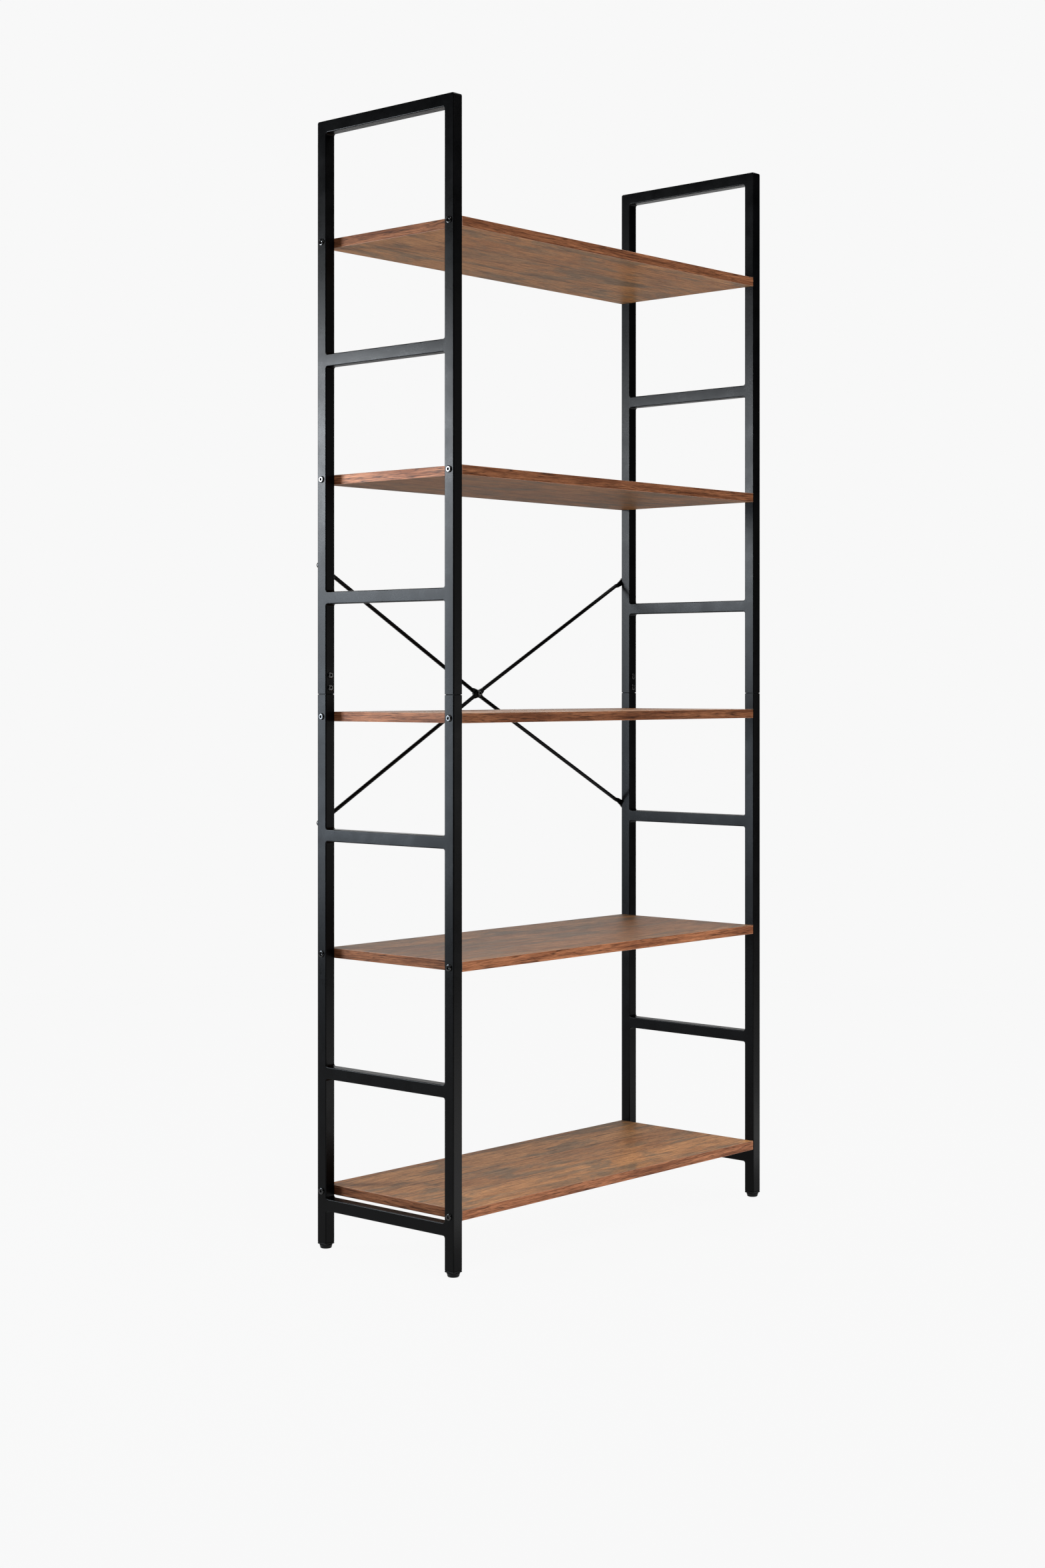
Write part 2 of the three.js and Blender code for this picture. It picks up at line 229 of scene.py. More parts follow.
def cut_away(piece, tools):
    """Takes the tools, which are closed meshes, out of the piece."""
    joined = bmesh.new()
    for tool in tools:
        mesh = bpy.data.meshes.new("tool")
        tool.to_mesh(mesh)
        tool.free()
        joined.from_mesh(mesh)
        bpy.data.meshes.remove(mesh)
    cutter = as_object("cutter", joined)
    boolean = piece.modifiers.new("cut", "BOOLEAN")
    boolean.operation = "DIFFERENCE"
    boolean.solver = "EXACT"
    boolean.object = cutter
    replacement = bpy.data.meshes.new_from_object(piece.evaluated_get(bpy.context.evaluated_depsgraph_get()))
    piece.modifiers.remove(boolean)
    piece.data = replacement
    bpy.data.objects.remove(cutter)


def finish_piece(piece, node, materials, body="case", sharp=35):
    """Shades the piece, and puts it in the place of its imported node."""
    piece.data.materials.clear()
    for material in materials:
        piece.data.materials.append(material)
    for face in piece.data.polygons:
        face.use_smooth = True
    piece.data.set_sharp_from_angle(angle=math.radians(sharp))
    normals = piece.modifiers.new("normals", "WEIGHTED_NORMAL")
    normals.keep_sharp = True
    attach(piece, body)
    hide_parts(node)


# ---- Materials ----

PLANK = 95 * MM  # width of a printed plank
PLANK_DRIFT = 7.3  # planks of shift for each metre of height, so that no two boards match
SHELF_PITCH = 370 * MM
# Painted light and shade: each board's colour is made lighter or darker by its own step, standing in for the
# differing light that reaches each board.
FACE_PAINTED_LIGHT = (7192, 0.57, 1.13)  # seed of each board's painted light and shade, then the darkest and lightest factor
LONG_BAND_PAINTED_LIGHT = (4445, 0.60, 1.18)
SHORT_BAND_PAINTED_LIGHT = (2868, 0.58, 1.62)

LIGHT_BROWN = (0.420, 0.194, 0.070, 1)
RED_BROWN = (0.280, 0.112, 0.036, 1)
GREY_BROWN = (0.155, 0.100, 0.054, 1)
DARK_BROWN = (0.070, 0.030, 0.015, 1)
CRACK_BROWN = (0.016, 0.008, 0.005, 1)
BAND_LIGHT = (0.360, 0.145, 0.068, 1)
BAND_RED = (0.170, 0.060, 0.027, 1)
BAND_DARK = (0.020, 0.008, 0.005, 1)


def add_node(tree, kind, inputs=None, **settings):
    """Adds a shader node. An input is either a value or another node's output."""
    made = tree.nodes.new("ShaderNode" + kind)
    for name, value in settings.items():
        setattr(made, name, value)
    for name, value in (inputs or {}).items():
        if isinstance(value, bpy.types.NodeSocket):
            tree.links.new(value, made.inputs[name])
        else:
            made.inputs[name].default_value = value
    return made


def place(tree, scale, offset=(0, 0, 0)):
    """The object's own coordinates, stretched."""
    coordinates = add_node(tree, "TexCoord").outputs["Object"]
    return add_node(tree, "Mapping", {"Vector": coordinates, "Scale": scale, "Location": offset}).outputs[0]


def noise(tree, vector, scale=1.0, detail=2.0, roughness=0.5, distortion=0.0):
    values = {"Scale": scale, "Detail": detail, "Roughness": roughness, "Distortion": distortion}
    return add_node(tree, "TexNoise", {"Vector": vector, **values}).outputs["Fac"]


def remap(tree, value, low, high, to_low=0.0, to_high=1.0):
    inputs = {"Value": value, "From Min": low, "From Max": high, "To Min": to_low, "To Max": to_high}
    return add_node(tree, "MapRange", inputs).outputs[0]


def mix(tree, factor, first, second, blend="MIX"):
    made = add_node(tree, "Mix", data_type="RGBA", blend_type=blend)
    for index, value in ((0, factor), (6, first), (7, second)):
        if isinstance(value, bpy.types.NodeSocket):
            tree.links.new(value, made.inputs[index])
        else:
            made.inputs[index].default_value = value
    return made.outputs[2]


def math_node(tree, operation, *values):
    return add_node(tree, "Math", dict(enumerate(values)), operation=operation).outputs[0]


def bump(tree, height, distance, strength=1.0, under=None):
    inputs = {"Height": height, "Distance": distance, "Strength": strength}
    if under is not None:
        inputs["Normal"] = under
    return add_node(tree, "Bump", inputs).outputs[0]


def new_material(name, **values):
    """A material with a Principled shader, and uniform values on the shader's own sockets."""
    material = bpy.data.materials.new(name)
    material.use_nodes = True
    tree = material.node_tree
    shader = tree.nodes["Principled BSDF"]
    for socket, value in values.items():
        shader.inputs[socket.replace("_", " ")].default_value = value
    return material, tree, shader


def connect(tree, shader, **sources):
    for socket, source in sources.items():
        tree.links.new(source, shader.inputs[socket.replace("_", " ")])


def powder_coat():
    """Fine-textured black coat: tiny pimples, slightly uneven in depth and gloss."""
    material, tree, shader = new_material("powder_coat", Metallic=0.0, Specular_IOR_Level=0.08)
    here = place(tree, (1, 1, 1))
    cloud = noise(tree, here, 35, 3)
    grain = noise(tree, here, 1500, 2, 0.6)
    swell = noise(tree, here, 260, 2)
    black = (0.0003, 0.0003, 0.0004, 1)
    worn = (0.0008, 0.0008, 0.0010, 1)
    connect(tree, shader, Base_Color=mix(tree, remap(tree, cloud, 0.35, 0.7), black, worn))
    broad = remap(tree, cloud, 0.3, 0.7, 0.27, 0.33)
    fine = remap(tree, grain, 0.3, 0.7, -0.03, 0.03)
    connect(tree, shader, Roughness=math_node(tree, "ADD", broad, fine))
    wavy = bump(tree, swell, 0.15 * MM, 0.25)
    connect(tree, shader, Normal=bump(tree, grain, 0.05 * MM, 0.35, wavy))
    return material


def glossy_black():
    """Black-oxide bolts: smooth and shiny, with a slightly uneven gloss."""
    material, tree, shader = new_material("glossy_black", Metallic=0.0, Specular_IOR_Level=0.45)
    here = place(tree, (1, 1, 1))
    speck = noise(tree, here, 900, 3)
    black = (0.0020, 0.0020, 0.0022, 1)
    worn = (0.0045, 0.0045, 0.0050, 1)
    connect(tree, shader, Base_Color=mix(tree, speck, black, worn))
    connect(tree, shader, Roughness=remap(tree, speck, 0.3, 0.7, 0.10, 0.17))
    connect(tree, shader, Normal=bump(tree, speck, 0.004 * MM, 0.2))
    return material


def black_plastic():
    """Moulded plastic of the feet and their inserts, with a faint spark-eroded texture."""
    material, tree, shader = new_material("black_plastic", Metallic=0.0, Specular_IOR_Level=0.1)
    here = place(tree, (1, 1, 1))
    texture = noise(tree, here, 1200, 2)
    cloud = noise(tree, here, 90, 2)
    connect(tree, shader, Base_Color=mix(tree, cloud, (0.004, 0.004, 0.0043, 1), (0.009, 0.009, 0.0095, 1)))
    connect(tree, shader, Roughness=remap(tree, cloud, 0.3, 0.7, 0.38, 0.48))
    connect(tree, shader, Normal=bump(tree, texture, 0.03 * MM, 0.3))
    return material


def raw_steel():
    """The sleeves inside the posts: dull dark steel with drawing marks along Z."""
    material, tree, shader = new_material("raw_steel", Metallic=0.0, Specular_IOR_Level=0.1)
    marks = noise(tree, place(tree, (1, 1, 0.02)), 900, 3)
    connect(tree, shader, Base_Color=mix(tree, marks, (0.010, 0.010, 0.011, 1), (0.03, 0.03, 0.03, 1)))
    connect(tree, shader, Roughness=remap(tree, marks, 0.3, 0.7, 0.4, 0.6))
    return material


def plank_print(tree):
    """A point's place in the grain of its printed plank, the plank's tone, and the dark joints."""
    parts = add_node(tree, "SeparateXYZ", {0: place(tree, (1, 1, 1))}).outputs
    waver = noise(tree, place(tree, (1.5, 6, 6)), 1, 2)
    drift = math_node(tree, "MULTIPLY", parts[2], PLANK_DRIFT)
    row = math_node(tree, "MULTIPLY_ADD", parts[1], 1 / PLANK, drift)
    row = math_node(tree, "MULTIPLY_ADD", waver, 0.03, row)
    number = math_node(tree, "FLOOR", row)
    tone = add_node(tree, "TexWhiteNoise", {"W": number}, noise_dimensions="1D").outputs["Value"]
    shift = math_node(tree, "MULTIPLY", number, 0.73)
    along = math_node(tree, "ADD", parts[0], shift)
    shifted = add_node(tree, "CombineXYZ", {0: along, 1: parts[1], 2: parts[2]})
    off_joint = math_node(tree, "PINGPONG", row, 0.5)
    joint = remap(tree, off_joint, 0.005, 0.015, 1, 0)
    broken = remap(tree, noise(tree, place(tree, (16, 3, 3)), 1, 3), 0.35, 0.55, 0.35, 1)
    return shifted.outputs[0], tone, math_node(tree, "MULTIPLY", joint, broken)


def painted_light_by_board(tree, colour, seed, darkest, lightest):
    """Painted light and shade: makes each board a little darker or lighter than the next, standing in for
    the different light that falls on each board.
    """
    height = add_node(tree, "SeparateXYZ", {0: place(tree, (1, 1, 1))}).outputs[2]
    level = math_node(tree, "FLOOR", math_node(tree, "DIVIDE", height, SHELF_PITCH))
    numbers = {"W": math_node(tree, "ADD", level, seed)}
    value = add_node(tree, "TexWhiteNoise", numbers, noise_dimensions="1D").outputs["Value"]
    return mix(tree, 1.0, colour, remap(tree, value, 0, 1, darkest, lightest), "MULTIPLY")


def stretch(tree, vector, scale):
    return add_node(tree, "Mapping", {"Vector": vector, "Scale": scale}).outputs[0]


def board_face():
    """Rustic wood print on both faces: planks in mottled brown, with grey patches and cracks."""
    material, tree, shader = new_material("board_face", Metallic=0.0, Specular_IOR_Level=0.06)
    grain, tone, joint = plank_print(tree)
    clouds = noise(tree, stretch(tree, grain, (9, 30, 30)), 1, 8, 0.68, 0.6)
    patches = noise(tree, stretch(tree, grain, (6, 20, 20)), 1, 8, 0.66, 0.9)
    smudges = noise(tree, stretch(tree, grain, (16, 55, 55)), 1, 8, 0.72, 0.7)
    streaks = noise(tree, stretch(tree, grain, (22, 240, 240)), 1, 6, 0.7, 0.3)
    fibres = noise(tree, stretch(tree, grain, (110, 900, 300)), 1, 3, 0.7)
    cracks = noise(tree, stretch(tree, grain, (13, 420, 120)), 1, 2, 0.5)
    mottle = math_node(tree, "MULTIPLY_ADD", tone, 0.25, clouds)
    colour = mix(tree, remap(tree, mottle, 0.45, 0.78), LIGHT_BROWN, RED_BROWN)
    colour = mix(tree, remap(tree, patches, 0.47, 0.60, 0, 0.85), colour, GREY_BROWN)
    colour = mix(tree, remap(tree, smudges, 0.52, 0.70, 0, 0.50), colour, DARK_BROWN)
    colour = mix(tree, remap(tree, streaks, 0.36, 0.56, 0.55, 0), colour, DARK_BROWN)
    colour = mix(tree, remap(tree, fibres, 0.48, 0.66, 0, 0.50), colour, CRACK_BROWN)
    colour = mix(tree, remap(tree, cracks, 0.63, 0.70, 0, 0.8), colour, CRACK_BROWN)
    colour = mix(tree, math_node(tree, "MULTIPLY", joint, 0.9), colour, CRACK_BROWN)
    # Painted light and shade: each board's face colour is made lighter or darker for the light that falls on
    # that board.
    connect(tree, shader, Base_Color=painted_light_by_board(tree, colour, *FACE_PAINTED_LIGHT))
    connect(tree, shader, Roughness=remap(tree, streaks, 0.3, 0.7, 0.50, 0.42))
    hollow = math_node(tree, "MAXIMUM", remap(tree, cracks, 0.60, 0.70), joint)
    relief = math_node(tree, "MULTIPLY_ADD", streaks, 0.4, math_node(tree, "MULTIPLY", hollow, -1))
    connect(tree, shader, Normal=bump(tree, relief, 0.08 * MM, 0.4))
    return material


def edge_band(name, along_x, painted_light_steps):
    """The same print on the edges, redder and with thin dark wavy lines along them."""
    material, tree, shader = new_material(name, Metallic=0.0, Specular_IOR_Level=0.06)

    def along(length_scale, height_scale):
        return (length_scale, 1, height_scale) if along_x else (1, length_scale, height_scale)

    flow = noise(tree, place(tree, along(5, 150)), 1, 3, 0.5, 0.3)
    level = math_node(tree, "PINGPONG", math_node(tree, "MULTIPLY", flow, 8), 0.5)
    broken = remap(tree, noise(tree, place(tree, along(22, 220)), 1, 3), 0.38, 0.60, 0.15, 1)
    lines = math_node(tree, "MULTIPLY", remap(tree, level, 0.03, 0.20, 1, 0), broken)
    veins = noise(tree, place(tree, along(50, 1500)), 1, 4, 0.65, 0.4)
    patches = noise(tree, place(tree, along(7, 160)), 1, 5, 0.65, 0.3)
    colour = mix(tree, remap(tree, patches, 0.38, 0.62), BAND_RED, BAND_LIGHT)
    colour = mix(tree, remap(tree, veins, 0.46, 0.66, 0, 0.75), colour, BAND_DARK)
    colour = mix(tree, math_node(tree, "MULTIPLY", lines, 0.85), colour, BAND_DARK)
    # Painted light and shade: each board's edge bands are made lighter or darker for the light that falls on
    # that board.
    connect(tree, shader, Base_Color=painted_light_by_board(tree, colour, *painted_light_steps))
    connect(tree, shader, Roughness=remap(tree, patches, 0.3, 0.7, 0.45, 0.36))
    connect(tree, shader, Normal=bump(tree, lines, -0.05 * MM, 0.4))
    return material


def arris_line():
    """The rounded line where a face's print meets the edge band, in a paler colour."""
    material, tree, shader = new_material("arris_line", Metallic=0.0, Specular_IOR_Level=0.1)
    patches = noise(tree, place(tree, (60, 60, 60)), 1, 4)
    connect(tree, shader, Base_Color=mix(tree, patches, (0.20, 0.10, 0.062, 1), (0.52, 0.33, 0.25, 1)))
    connect(tree, shader, Roughness=remap(tree, patches, 0.3, 0.7, 0.45, 0.35))
    return material


POWDER = powder_coat()
GLOSSY = glossy_black()
PLASTIC = black_plastic()
STEEL = raw_steel()
BOARD = [
    board_face(),
    edge_band("edge_band_long", True, LONG_BAND_PAINTED_LIGHT),
    edge_band("edge_band_short", False, SHORT_BAND_PAINTED_LIGHT),
    arris_line(),
]
FACE, LONG_BAND, SHORT_BAND, ARRIS_LINE = range(len(BOARD))

# ---- Welded side frames ----


def rung_heights():
    shelves = [middle(f"shelf_{name}").z for name in SHELVES]
    return [shelves[0] - RAIL_DROP] + [(a + b) / 2 for a, b in zip(shelves, shelves[1:])]


def side_frame(side_name, section):
    """A ladder of square tube, welded and ground flush, with bores and bolt holes cut out of it."""
    node = f"{side_name}_frame_{section}"
    low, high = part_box(node)
    centre = (low + high) / 2
    past = 60 * MM  # the outline runs past the open ends, which are then cut square
    closed_top = section == "upper"
    bottom = low.z - past
    top = high.z if closed_top else high.z + past
    rungs = [height for height in rung_heights() if low.z < height < high.z]
    floors = [bottom + past / 2] + [height + TUBE / 2 for height in rungs]
    ceilings = [height - TUBE / 2 for height in rungs] + [top - (TUBE if closed_top else past / 2)]
    reach = (high.y - low.y) / 2
    spans = zip(floors, ceilings)
    windows = [((TUBE - reach, base), (reach - TUBE, ceiling), WELD) for base, ceiling in spans]
    made = rounded_plate(((-reach, bottom), (reach, top), FRAME_CORNER), windows, TUBE / 2, TUBE_CORNER)
    made.transform(Matrix(((0, 0, 1, centre.x), (1, 0, 0, centre.y), (0, 1, 0, 0), (0, 0, 0, 1))))
    square_end(made, low.z, -1, centre, reach)
    if not closed_top:
        square_end(made, high.z, 1, centre, reach)
    piece = as_object(f"{node}_tube", made)
    posts = [centre.y - reach + TUBE / 2, centre.y + reach - TUBE / 2]
    bore_top = high.z - TUBE_WALL if closed_top else high.z + MM
    cut_away(piece, [tube_bore(centre.x, y, low.z - MM, bore_top) for y in posts])
    cut_away(piece, bolt_holes(side_name, low, high))
    finish_piece(piece, node, [POWDER])


def square_end(made, height, outward, centre, reach):
    """Cuts both posts square at a height, with a small chamfer round the end."""
    level = Vector((0, 0, height - outward * TUBE_END_CHAMFER))
    parts = made.verts[:] + made.edges[:] + made.faces[:]
    bmesh.ops.bisect_plane(made, geom=parts, plane_co=level, plane_no=(0, 0, outward), clear_outer=True)
    rim = [edge for edge in made.edges if edge.is_boundary]
    grown = bmesh.ops.extrude_edge_only(made, edges=rim)["geom"]
    for vert in [part for part in grown if isinstance(part, bmesh.types.BMVert)]:
        post = centre.y + math.copysign(reach - TUBE / 2, vert.co.y - centre.y)
        shrink = 1 - 2 * TUBE_END_CHAMFER / TUBE
        vert.co.x = centre.x + (vert.co.x - centre.x) * shrink
        vert.co.y = post + (vert.co.y - post) * shrink
        vert.co.z = height
    bmesh.ops.holes_fill(made, edges=[edge for edge in made.edges if edge.is_boundary])
    bmesh.ops.recalc_face_normals(made, faces=made.faces)


def tube_bore(x, y, bottom, top):
    half = TUBE / 2 - TUBE_WALL
    section = rounded_rectangle((-half, -half), (half, half), TUBE_CORNER - TUBE_WALL)
    return loft([[(x + a, y + b, height) for a, b in section] for height in (bottom, top)])


def bolt_holes(side_name, low, high):
    """A clearance hole for every bolt and screw that passes through this frame's walls."""
    tools = []
    for node in frame["nodes"]:
        near = side_name in node and low.z < middle(node).z < high.z
        if near and "bolt" in node or near and "screw" in node:
            tools.append(clearance(node, 4 * MM))
    return tools


def clearance(node, past):
    """A bar along a bolt's shank, wider by the clearance and longer by past at both ends.

    The shank's axis is the one whose two cross measures agree, since the head is round."""
    low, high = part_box(node)
    size = high - low
    axis = min(range(3), key=lambda i: abs(size[i - 1] - size[i - 2]))
    start = (low + high) / 2
    end = start.copy()
    start[axis] = low[axis] - past
    end[axis] = high[axis] + past
    diameter = SCREW if "screw" in node else BOLT
    return rod_between(start, end, diameter / 2 + CLEARANCE)


# ---- Boards ----


def shelf(name):
    """A board with lightly rounded edges: faces, long and short edge bands, and the rounding itself."""
    node = f"shelf_{name}"
    low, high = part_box(node)
    centre = (low + high) / 2
    half = (high - low) / 2
    made = rounded_plate(((-half.x, -half.y), (half.x, half.y), ARRIS + 0.1 * MM), [], half.z, ARRIS)
    made.transform(Matrix.Translation(centre))
    piece = as_object(f"{node}_board", made)
    bolts = [f"shelf_bolt_{name}_{side}_{end}" for side, _ in SIDES for end, _ in ENDS]
    cut_away(piece, [clearance(bolt, 2 * MM) for bolt in bolts])
    finish_piece(piece, node, BOARD)
    for face in piece.data.polygons:
        face.material_index = board_finish(face.normal)


def board_finish(normal):
    """Which of the board's finishes a face has, by the way it looks."""
    square_on = 0.97
    if abs(normal.z) > square_on:
        return FACE
    if abs(normal.y) > square_on:
        return LONG_BAND
    return SHORT_BAND if abs(normal.x) > square_on else ARRIS_LINE


# ---- Fasteners ----


def bolt_profile(diameter, length, head, head_height):
    """Rings of a button-head bolt from its tip up to the crown. The head's underside is at Z = 0."""
    rings = [
        circle(diameter / 2 - SHANK_LEAD, -length),
        circle(diameter / 2, -length + SHANK_LEAD),
        circle(diameter / 2, 0),
        circle(head / 2 - HEAD_EDGE, 0),
        circle(head / 2, HEAD_EDGE),
    ]
    dome_steps = 8
    for step in range(dome_steps + 1):
        angle = step / dome_steps * math.pi / 2
        radius = HEAD_FLAT / 2 + (head - HEAD_FLAT) / 2 * math.cos(angle)
        rings.append(circle(radius, HEAD_RIM + (head_height - HEAD_RIM) * math.sin(angle)))
    return rings


def hex_socket(height):
    """Rings from the crown down into the socket, which has a chamfered mouth and a drilled floor."""
    return [
        circle(SOCKET / 2 + 0.25 * MM, height),
        hexagon(SOCKET, height - 0.3 * MM),
        hexagon(SOCKET, height - SOCKET_DEPTH),
        circle(SOCKET / 2 * 0.7, height - SOCKET_DEPTH),
        circle(0.15 * MM, height - SOCKET_DEPTH - 0.5 * MM),
    ]


def bolt(node, toward, head_height):
    """A bolt in the place of a packed one. toward is the way its head points."""
    low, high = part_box(node)
    size = high - low
    axis = max(range(3), key=lambda i: abs(toward[i]))
    head = max(size[i] for i in range(3) if i != axis)
    diameter = SCREW if "screw" in node else BOLT
    shank = size[axis] - head_height
    made = loft(bolt_profile(diameter, shank, head, head_height) + hex_socket(head_height))
    seat = (low + high) / 2
    seat[axis] = (high[axis] if toward[axis] > 0 else low[axis]) - toward[axis] * head_height
    stand(made, seat, toward)
    finish_piece(as_object(f"{node}_body", made), node, [GLOSSY], sharp=20)


def hub_nut():
    """A hex nut with its corners and its bore chamfered at both ends."""
    node = "brace_hub_nut"
    low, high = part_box(node)
    across_corners = max((high - low).x, (high - low).z)
    height = high.y - low.y
    bore = BOLT / 2 + CLEARANCE
    flat_face = across_corners / 2 * 0.84
    slope = math.tan(math.radians(30))

    def end_ring(level, inward):
        ring = hexagon(across_corners, level)
        for point in ring:
            point.z += inward * (Vector((point.x, point.y)).length - flat_face) * slope
        return ring

    mouth = 0.4 * MM
    rings = [
        circle(bore + mouth, 0),
        circle(flat_face, 0),
        end_ring(0, 1),
        end_ring(height, -1),
        circle(flat_face, height),
        circle(bore + mouth, height),
        circle(bore, height - mouth),
        circle(bore, mouth),
    ]
    made = loft(rings, bored=True)
    seat = (low + high) / 2
    seat.y = low.y
    stand(made, seat, (0, 1, 0), up="X")
    finish_piece(as_object(f"{node}_body", made), node, [GLOSSY], sharp=25)


# ---- Rear brace ----


def rod_section(width, thickness, power, points=24):
    """A superellipse between a circle and a bar: width across the brace, thickness along Y from 0."""
    ring = []
    for angle in turns(points):
        c, s = math.cos(angle), math.sin(angle)
        across = math.copysign(abs(c) ** (2 / power), c) * width / 2
        depth = math.copysign(abs(s) ** (2 / power), s) * thickness / 2
        ring.append((across, thickness / 2 + depth))
    return ring


def flat_width(distance, eye, reach):
    """Width of a flat at a distance from its bolt: a round eye, then straight sides down to the rod."""
    radius = eye / 2
    touch = math.atan2(ROD / 2, reach) + math.acos(radius / math.hypot(reach, ROD / 2))
    if distance < radius * math.cos(touch):
        return 2 * math.sqrt(max(radius**2 - distance**2, 0.02 * radius**2))
    along = (distance - radius * math.cos(touch)) / (reach - radius * math.cos(touch))
    wide = 2 * radius * math.sin(touch)
    return wide + (ROD - wide) * min(along, 1)


def rod_shape(distance, half):
    """Width of a rod at a distance from its hub, and how round it is, from 0 (pressed flat) to 1."""
    from_hub = abs(distance)
    from_end = half - from_hub
    if from_end < END_REACH:
        width = flat_width(max(from_end, 0), END_EYE, END_REACH)
        to_rod = from_end - (END_REACH - FLAT_TAPER)
    else:
        width = flat_width(from_hub, HUB_EYE, HUB_REACH)
        to_rod = from_hub - (HUB_REACH - FLAT_TAPER)
    if from_end < 0:
        width *= math.sqrt(max(1 - (from_end / (END_EYE / 2)) ** 2, 0.02))
    blend = min(max(to_rod / FLAT_TAPER, 0), 1)
    return width, blend * blend * (3 - 2 * blend)


def brace_rod(name, climb):
    """A round rod pressed flat at the hub and at both ends, with rounded eyes under the bolts."""
    node = f"brace_rod_{name}"
    hub = middle("brace_hub_bolt")
    low_bolt = "brace_bolt_left_lower" if climb > 0 else "brace_bolt_left_upper"
    high_bolt = "brace_bolt_right_upper" if climb > 0 else "brace_bolt_right_lower"
    start, end = middle(low_bolt), middle(high_bolt)
    half = (Vector((end.x, end.z)) - Vector((start.x, start.z))).length / 2
    end_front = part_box(node)[0].y
    hub_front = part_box("brace_hub_bolt")[0].y + HEAD_HEIGHT + CLEARANCE
    if name == "rear":
        hub_front += FLAT + CLEARANCE
    slope = math.atan2(end.z - start.z, end.x - start.x)

    straight = half - HUB_REACH - END_REACH
    rings = []
    for distance in rod_stations(half):
        width, roundness = rod_shape(distance, half)
        thickness = FLAT + (ROD - FLAT) * roundness
        power = FLAT_POWER + (ROUND_POWER - FLAT_POWER) * roundness
        if half - abs(distance) < END_REACH:
            front = end_front + ROD_STEP * roundness
        else:
            lean = min(max((abs(distance) - HUB_REACH) / straight, 0), 1)
            front = hub_front + (end_front + ROD_STEP - hub_front) * lean
        ring = []
        for across, depth in rod_section(width, thickness, power):
            x = distance * math.cos(slope) - across * math.sin(slope)
            z = distance * math.sin(slope) + across * math.cos(slope)
            ring.append((hub.x + x, front + depth, hub.z + z))
        rings.append(ring)
    piece = as_object(f"{node}_bar", loft(rings))
    cut_away(piece, [clearance(bolt_node, 4 * MM) for bolt_node in (low_bolt, high_bolt, "brace_hub_bolt")])
    finish_piece(piece, node, [POWDER], sharp=40)


def rod_stations(half):
    """Distances along a rod from its hub, closer together where its shape changes."""
    steps = 8
    one_way = [HUB_EYE / 2 * i / steps for i in range(steps + 1)]
    one_way += [HUB_REACH - FLAT_TAPER + FLAT_TAPER * i / steps for i in range(steps + 1)]
    one_way += [half * i / 12 for i in range(1, 12)]
    one_way += [half - END_REACH + FLAT_TAPER * i / steps for i in range(steps + 1)]
    one_way += [half - END_EYE / 2, half]
    one_way += [half + END_EYE / 2 * math.sin(i / steps * math.pi / 2) for i in range(1, steps + 1)]
    kept = sorted(set(round(distance, 6) for distance in one_way))
    return [-distance for distance in reversed(kept[1:])] + kept


# ---- Feet ----


def foot_insert(corner):
    """A square plug in the post's end, with a lip under it and a bore for the foot's stud."""
    node = f"foot_insert_{corner}"
    low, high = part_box(node)
    centre = (low + high) / 2
    half = TUBE / 2
    plug = half - TUBE_WALL - CLEARANCE
    lip_top = low.z + INSERT_LIP - CLEARANCE
    chamfer = 0.5 * MM
    bore = STUD / 2 + CLEARANCE
    outer = [
        (half - chamfer, low.z),
        (half, low.z + chamfer),
        (half, lip_top - chamfer / 2),
        (half - chamfer / 2, lip_top),
        (plug, lip_top),
        (plug, high.z - 2 * MM),
        (plug - MM, high.z),
    ]
    steps = 6
    rings = []
    for size, height in outer:
        section = rounded_rectangle((-size, -size), (size, size), min(TUBE_CORNER, size * 0.25), steps)
        rings.append([(centre.x + x, centre.y + y, height) for x, y in section])
    around = len(rings[0])
    in_corner = steps // 2  # a point of each ring that lies in the middle of a corner
    x, y, _ = rings[0][in_corner]
    start = math.atan2(y - centre.y, x - centre.x) - in_corner / around * math.tau
    for height in (high.z, low.z):
        hole = [(bore * math.cos(start + a), bore * math.sin(start + a)) for a in turns(around)]
        rings.append([(centre.x + x, centre.y + y, height) for x, y in hole])
    made = loft(rings, bored=True)
    finish_piece(as_object(f"{node}_body", made), node, [PLASTIC], sharp=30)


